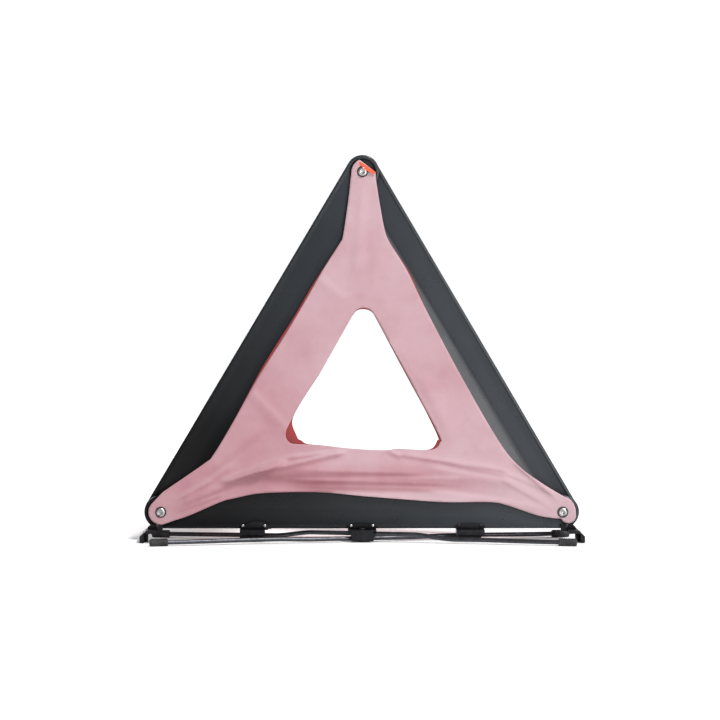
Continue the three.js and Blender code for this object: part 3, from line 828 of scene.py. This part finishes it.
def shifted(loop, moves):
    """The loop with each point moved by the sum of local pushes: (x, z, reach, push x, push z)."""
    made = []
    for p in loop:
        q = p.copy()
        for x, z, reach, dx, dz in moves:
            share = math.exp(-((p.x - x) ** 2 + (p.y - z) ** 2) / reach ** 2)
            q += Vector((dx, dz)) * share
        made.append(q)
    return made


# The front ply is cut a little differently, so its back face, darkened as painted shade, shows along some
# edges.
front_outer = shifted(ply_outline(), [
    (-84, 195, 52, -1.9, 1.1), (-50, 250, 24, -1.0, 0.6), (50, 262, 24, 0.9, 0.5),
])
front_opening = shifted(opening, [
    (-76, 104, 12, 10.0, 1.0), (-68, 97, 9, 2.0, 3.6), (2, 232, 12, 0, -1.3),
    (77, 97, 10, -2.6, 1.8), (44, 165, 60, -0.9, -0.4), (72, 112, 16, -1.0, -0.2),
])
front_ply = cloth_piece("orange_cloth_front", front_outer, [front_opening] + eyelets, FRONT_PLY_Y, 0.82,
                        front_tone, SHADED_LINING_ORANGE)


def dog_ear():
    """The tip of the front ply, folded down over the back ply and the rivet's rim, bright side out."""
    fold_a, fold_b = Vector((12.9, 366.6)), Vector((-3.4, 378.8))
    down = Vector((-0.602, -0.799))
    rows, columns = 10, 12
    vertices, faces = [], []
    for i in range(rows + 1):
        t = i / rows
        for k in range(columns + 1):
            u = k / columns
            reach = 4.0 * math.sin(math.pi * (0.06 + 0.88 * u)) ** 0.45
            p = fold_a.lerp(fold_b, u) + down * reach * t
            curl = math.sin(0.5 * math.pi * t) * math.sin(math.pi * min(1.0, 0.25 + 0.8 * u))
            vertices.append(Vector((p.x, plane_y(BACK_PLY_Y, p.y) - 0.35 - 2.45 * curl, p.y)) * MM)
    for i in range(rows):
        for k in range(columns):
            a = i * (columns + 1) + k
            faces.append((a, a + 1, a + columns + 2, a + columns + 1))
    piece = new_object("cloth_tip_fold", vertices, faces, ORANGE, None)
    return make_cloth(piece, np.zeros(len(vertices)), 0.3)


tip_fold = dog_ear()


def lay_cloth(piece):
    """The cloth stays on the base, at the lower rivets, with a mesh of its own."""
    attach(piece, "base")
    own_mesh(piece)


# A ply covers only 0.28 to 0.29 of its cut rectangle. An area under 0.3 of it can't be declared, so
# this one is about 5 percent more than the true one.
lay_cloth(back_ply)
lay_cloth(front_ply)
lay_cloth(tip_fold)
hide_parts("fabric_back_ply")
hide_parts("fabric_front_ply")


# ---- Rivets, washers and the pivot hardware ---------------------------------------------------------


def along_y(x, z):
    return Matrix.Translation(Vector((x, 0, z)) * MM)


def round_node(node):
    """A round CAD node's middle, radius, and the y of its back and of its front, in millimetres."""
    low, high = (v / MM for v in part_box(node))
    return (low + high) / 2, (high.x - low.x) / 2, low.y, high.y


def corner_rivet(name, node, body):
    """A tubular rivet: a rolled, hollow head on the cloth side and a rolled tail on the far side."""
    mid, head_r, back, front = round_node(node)
    shank, bore = 2.2, 1.5
    section = [
        (0.05, back + 1.9), (bore - 0.2, back + 1.7), (bore, back + 0.9), (bore + 0.35, back + 0.25),
        (bore + 0.9, back + 0.02), (head_r * 0.72, back + 0.05), (head_r * 0.9, back + 0.3),
        (head_r, back + 0.7), (head_r * 0.97, back + 1.05), (head_r * 0.85, back + 1.2),
        (shank, back + 1.2), (shank, front - 1.2), (head_r * 0.8, front - 1.2),
        (head_r * 0.9, front - 0.8), (head_r * 0.85, front - 0.3), (head_r * 0.6, front),
        (bore + 0.5, front - 0.05),
        (bore, front - 0.5), (bore - 0.1, front - 1.6), (0.05, front - 1.9),
    ]
    piece = turned(name, section, ZINC, along_y(mid.x, mid.z))
    return stands_for(piece, node, body)


corner_rivet("left_rivet", "left_pivot_rivet", "base")
corner_rivet("right_rivet", "right_pivot_rivet", "base")
corner_rivet("top_rivet", "apex_rivet", "left_arm")


def corner_washer(name, node, body):
    """A flat washer with rounded edges."""
    mid, outer, back, front = round_node(node)
    hole = PIVOT_HOLE
    section = [
        (hole, back + 0.05), (hole + 0.2, back), (outer - 0.35, back), (outer - 0.08, back + 0.12),
        (outer, back + 0.3), (outer - 0.1, front - 0.02), (outer - 0.3, front), (hole + 0.1, front),
        (hole, front - 0.1),
    ]
    piece = turned(name, section, BLACKENED, along_y(mid.x, mid.z), closed=True)
    return stands_for(piece, node, body)


corner_washer("left_washer", "left_rivet_washer", "base")
corner_washer("right_washer", "right_rivet_washer", "base")
corner_washer("top_washer", "apex_rivet_washer", "left_arm")

for node in ("left_thrust_washer", "right_pivot_spacer", "apex_catch_stud"):
    keep_node(node, FITTING_PLASTIC, 0.15, 2)
keep_node("leg_pivot_pin", BLACKENED, 0.25)


# ---- Wire legs --------------------------------------------------------------------------------------

LEG_ANGLE = math.radians(13.5)
WIRE_R = 2.25
TIP_REACH = 213.4  # from the pin to the wire's tip
EYE_LOOP = 4.85  # radius of the eye's centre line
EYE_Z = {"a": 3.45, "b": 8.25}
CROSS_END = 50  # the rods stay at the height of their eyes as far as this,
LEVEL_FROM = 90  # and are level with each other from here
ROD_Z = 4.4
FOOT_AXIS_Z = 3.65
FOOT_R = 4.0
FOOT_L = 18.0


def ease(x, low, high):
    t = min(1.0, max(0.0, (x - low) / (high - low)))
    return t * t * (3 - 2 * t)


def leg_height(x, eye_z):
    level = eye_z + (ROD_Z - eye_z) * ease(x, CROSS_END, LEVEL_FROM)
    return level + (FOOT_AXIS_Z - level) * ease(x, LEVEL_FROM, TIP_REACH - FOOT_L)


def tube(name, path, radius, material, sides=20, closed=False):
    """A round skin along a path of points in metres."""
    count = len(path)
    rings = []
    for i, p in enumerate(path):
        if closed:
            run = path[(i + 1) % count] - path[i - 1]
        else:
            run = path[min(i + 1, count - 1)] - path[max(i - 1, 0)]
        run.normalize()
        side = run.cross(Vector((0, 0, 1))).normalized()
        up = side.cross(run)
        rings.append([p + radius * (math.cos(a) * side + math.sin(a) * up)
                      for a in (2 * math.pi * k / sides for k in range(sides))])
    if closed:
        rings.append(rings[0])
    return loft(name, rings, material, (not closed, not closed), 50.0)


def leg_wire(letter, angle):
    """One length of spring wire: two straight arms that meet in an eye round the pivot pin."""
    eye_z = EYE_Z[letter]
    turn = Matrix.Rotation(angle, 4, "Z")
    xs = [EYE_LOOP + (TIP_REACH - 0.6 - EYE_LOOP) * k / 70 for k in range(71)]
    eye_path = [turn @ (Vector((EYE_LOOP * math.cos(a), EYE_LOOP * math.sin(a), eye_z)) * MM)
                for a in (2 * math.pi * k / 48 for k in range(48))]
    piece = tube("leg_wire_eye", eye_path, WIRE_R * MM, WIRE, closed=True)
    outward(piece, weld=True)
    for side in (0.0, math.pi):
        half_turn = turn @ Matrix.Rotation(side, 4, "Z")
        path = [half_turn @ (Vector((x, 0, leg_height(x, eye_z))) * MM) for x in xs]
        arm_half = tube("half", path, WIRE_R * MM, WIRE)
        round_edges(arm_half, 0.5, 2, 60)
        apply_modifiers(arm_half)
        combine(piece, "UNION", arm_half)
    piece.name = "spring_wire_" + letter
    smooth(piece, 50.0)
    return stands_for(piece, "leg_wire_" + letter, "leg_" + letter)


def rubber_foot(name, node, body, angle):
    """A moulded sleeve with grip rings, closed over the wire's tip and flat where it stands."""
    start = TIP_REACH + 2.3 - FOOT_L
    section = [(2.55, 0.1), (2.75, 0.0), (3.35, 0.0), (3.75, 0.25), (3.9, 0.8)]
    for k in range(5):
        y = 2.2 + 2.0 * k
        section += [(FOOT_R, y - 0.75), (FOOT_R, y - 0.1), (3.72, y + 0.15), (3.72, y + 0.7),
                    (FOOT_R, y + 0.95)]
    section += [(FOOT_R, FOOT_L - 3.2), (3.93, FOOT_L - 1.6), (3.55, FOOT_L - 0.5), (2.8, FOOT_L - 0.08),
                (0.05, FOOT_L), (0.05, FOOT_L - 2.0), (2.45, FOOT_L - 2.05), (2.55, FOOT_L - 2.3)]
    to_frame = (Matrix.Rotation(angle, 4, "Z") @ Matrix.Translation(Vector((start, 0, FOOT_AXIS_Z)) * MM)
                @ Matrix.Rotation(-math.pi / 2, 4, "Z"))
    piece = turned(name, section, RUBBER, to_frame, sides=48, closed=True, smooth_angle=40.0)
    for v in piece.data.vertices:
        v.co.z = max(v.co.z, 0.0)
    smooth(piece, 40.0)
    return stands_for(piece, node, body)


leg_wire("a", LEG_ANGLE)
leg_wire("b", -LEG_ANGLE)
rubber_foot("foot_front_right", "front_right_foot", "leg_a", LEG_ANGLE)
rubber_foot("foot_back_left", "back_left_foot", "leg_a", LEG_ANGLE + math.pi)
rubber_foot("foot_back_right", "back_right_foot", "leg_b", -LEG_ANGLE)
rubber_foot("foot_front_left", "front_left_foot", "leg_b", math.pi - LEG_ANGLE)


# ---- Fittings under the bottom arm ------------------------------------------------------------------

for node in CLIPS + ("left_end_bracket", "right_end_bracket"):
    keep_node(node, FITTING_PLASTIC, 0.6, 4)
for node in CLIP_RIVETS:
    keep_node(node, BLACKENED if node.startswith("right") else ZINC, 0.12, 2)
for node in SCREWS:
    keep_node(node, BLACKENED, 0.12, 2)


# ---- Floor, light and camera ------------------------------------------------------------------------


def build_floor():
    size = 30.0
    corners = [(-size, -size, 0), (size, -size, 0), (size, size, 0), (-size, size, 0)]
    new_object("floor", corners, [(0, 1, 2, 3)], FLOOR, None)


def area_light(name, place, aim, size, power):
    lamp = bpy.data.lights.new(name, "AREA")
    lamp.shape = "RECTANGLE"
    lamp.size, lamp.size_y = size
    lamp.energy = power
    made = bpy.data.objects.new(name, lamp)
    made.location = place
    made.rotation_euler = (Vector(aim) - Vector(place)).to_track_quat("-Z", "Y").to_euler()
    bpy.context.scene.collection.objects.link(made)


def sun(name, towards, strength, spread):
    """Even light from one direction, so the whole floor is lit alike. Spread softens its shadows."""
    lamp = bpy.data.lights.new(name, "SUN")
    lamp.energy = strength
    lamp.angle = math.radians(spread)
    made = bpy.data.objects.new(name, lamp)
    made.rotation_euler = Vector(towards).to_track_quat("Z", "Y").to_euler()
    bpy.context.scene.collection.objects.link(made)


def studio():
    """Plain soft light. The camera sees a white backdrop, and the object a dimmer one."""
    world = bpy.data.worlds.new("studio")
    bpy.context.scene.world = world
    world.use_nodes = True
    tree = world.node_tree
    tree.nodes.clear()
    output = tree.nodes.new("ShaderNodeOutputWorld")
    seen = tree.nodes.new("ShaderNodeBackground")
    seen.inputs["Color"].default_value = (1, 1, 1, 1)
    seen.inputs["Strength"].default_value = 1.05
    lit = tree.nodes.new("ShaderNodeBackground")
    lit.inputs["Color"].default_value = (0.95, 0.97, 1.0, 1)
    lit.inputs["Strength"].default_value = 0.38
    choose = tree.nodes.new("ShaderNodeMixShader")
    ray = tree.nodes.new("ShaderNodeLightPath")
    tree.links.new(ray.outputs["Is Camera Ray"], choose.inputs[0])
    tree.links.new(lit.outputs[0], choose.inputs[1])
    tree.links.new(seen.outputs[0], choose.inputs[2])
    tree.links.new(choose.outputs[0], output.inputs[0])
    area_light("sheen", (0.80, -1.5, 0.40), (0.08, 0.0, 0.2), (0.5, 0.6), 9.0)
    area_light("rim", (1.6, 0.9, 0.9), (0.1, 0.0, 0.15), (0.8, 1.2), 5.0)
    area_light("front_fill", (-0.9, 1.7, 0.8), (0.0, 0.0, 0.17), (1.0, 1.0), 16.0)
    sun("key", (0.50, -0.62, 1.0), 2.75, 12.0)
    bpy.context.scene.view_settings.view_transform = "Standard"


CAMERA = {
    "azimuth": -1.537,
    "elevation": 2.741,
    "roll": 0.119,
    "distance": 4.0,
    "aim": (-0.0025, 0.0, 0.1807),
    "lens": 201.7,
}


def camera():
    azimuth, elevation = math.radians(CAMERA["azimuth"]), math.radians(CAMERA["elevation"])
    back = Vector((math.sin(azimuth) * math.cos(elevation), -math.cos(azimuth) * math.cos(elevation),
                   math.sin(elevation)))
    data = bpy.data.cameras.new("camera")
    data.lens = CAMERA["lens"]
    data.sensor_width = 36.0
    data.clip_end = 60.0
    made = bpy.data.objects.new("camera", data)
    made.location = Vector(CAMERA["aim"]) + back * CAMERA["distance"]
    facing = (-back).to_track_quat("-Z", "Y").to_matrix()
    made.rotation_euler = (facing @ Matrix.Rotation(math.radians(CAMERA["roll"]), 3, "Z")).to_euler()
    bpy.context.scene.collection.objects.link(made)
    bpy.context.scene.camera = made


build_floor()
studio()
camera()
